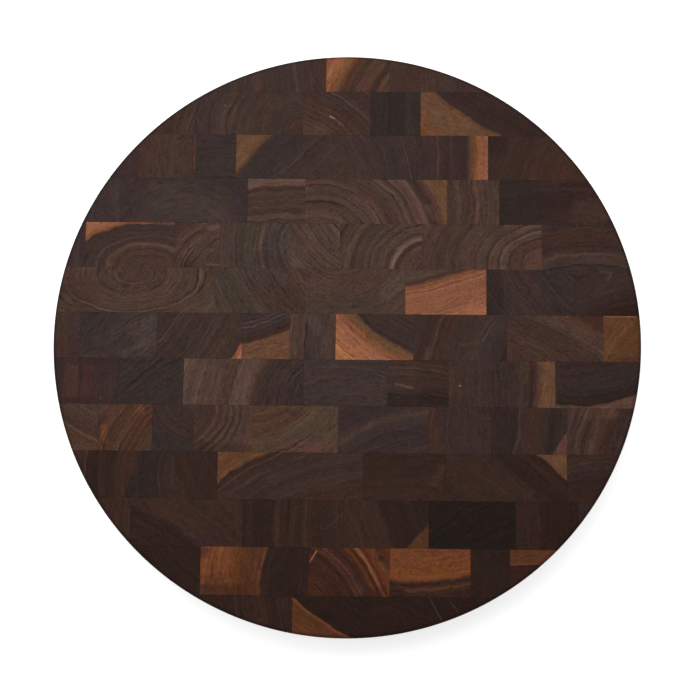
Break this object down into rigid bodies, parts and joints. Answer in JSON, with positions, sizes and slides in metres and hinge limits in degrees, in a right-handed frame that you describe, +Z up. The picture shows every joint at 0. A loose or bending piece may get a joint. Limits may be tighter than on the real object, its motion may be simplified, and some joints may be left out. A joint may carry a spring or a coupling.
{
  "type": "round end-grain chopping block",
  "caption": "Thick round chopping block of end-grain walnut, glued up from rows of upright blocks, with flat faces for cutting on and small rounded edges.",
  "frame": {"origin": "centre of the lower face, which is the resting face", "axes": "+Z up through the disc, along the wood's grain; +Y towards row 1; +X along the rows, towards each row's last block"},
  "size_m": [0.4064, 0.4064, 0.0508],
  "materials": {
    "walnut": "oiled end grain, satin: dark brown to purple-brown heartwood, tan to orange sapwood"
  },
  "bodies": {
    "root": {"row_01_block_3": "walnut", "row_01_left_pair": "walnut", "row_01_right_pair": "walnut", "row_02_block_3": "walnut", "row_02_left_pair": "walnut", "row_02_right_pair": "walnut", "row_03_block_3": "walnut", "row_03_block_4": "walnut", "row_03_block_5": "walnut", "row_03_left_pair": "walnut", "row_03_right_pair": "walnut", "row_04_block_3": "walnut", "row_04_block_4": "walnut", "row_04_left_pair": "walnut", "row_04_right_pair": "walnut", "row_05_block_3": "walnut", "row_05_block_4": "walnut", "row_05_block_5": "walnut", "row_05_block_6": "walnut", "row_05_left_pair": "walnut", "row_05_right_pair": "walnut", "row_06_block_3": "walnut", "row_06_block_4": "walnut", "row_06_left_pair": "walnut", "row_06_right_pair": "walnut", "row_07_block_3": "walnut", "row_07_block_4": "walnut", "row_07_block_5": "walnut", "row_07_block_6": "walnut", "row_07_block_7": "walnut", "row_07_left_pair": "walnut", "row_07_right_pair": "walnut", "row_08_block_3": "walnut", "row_08_block_4": "walnut", "row_08_block_5": "walnut", "row_08_left_pair": "walnut", "row_08_right_pair": "walnut", "row_09_block_3": "walnut", "row_09_block_4": "walnut", "row_09_block_5": "walnut", "row_09_block_6": "walnut", "row_09_block_7": "walnut", "row_09_left_pair": "walnut", "row_09_right_pair": "walnut", "row_10_block_3": "walnut", "row_10_block_4": "walnut", "row_10_left_pair": "walnut", "row_10_right_pair": "walnut", "row_11_block_3": "walnut", "row_11_block_4": "walnut", "row_11_block_5": "walnut", "row_11_left_pair": "walnut", "row_11_right_pair": "walnut", "row_12_block_3": "walnut", "row_12_block_4": "walnut", "row_12_left_pair": "walnut", "row_12_right_pair": "walnut", "row_13_block_3": "walnut", "row_13_left_pair": "walnut"}
  },
  "joints": []
}
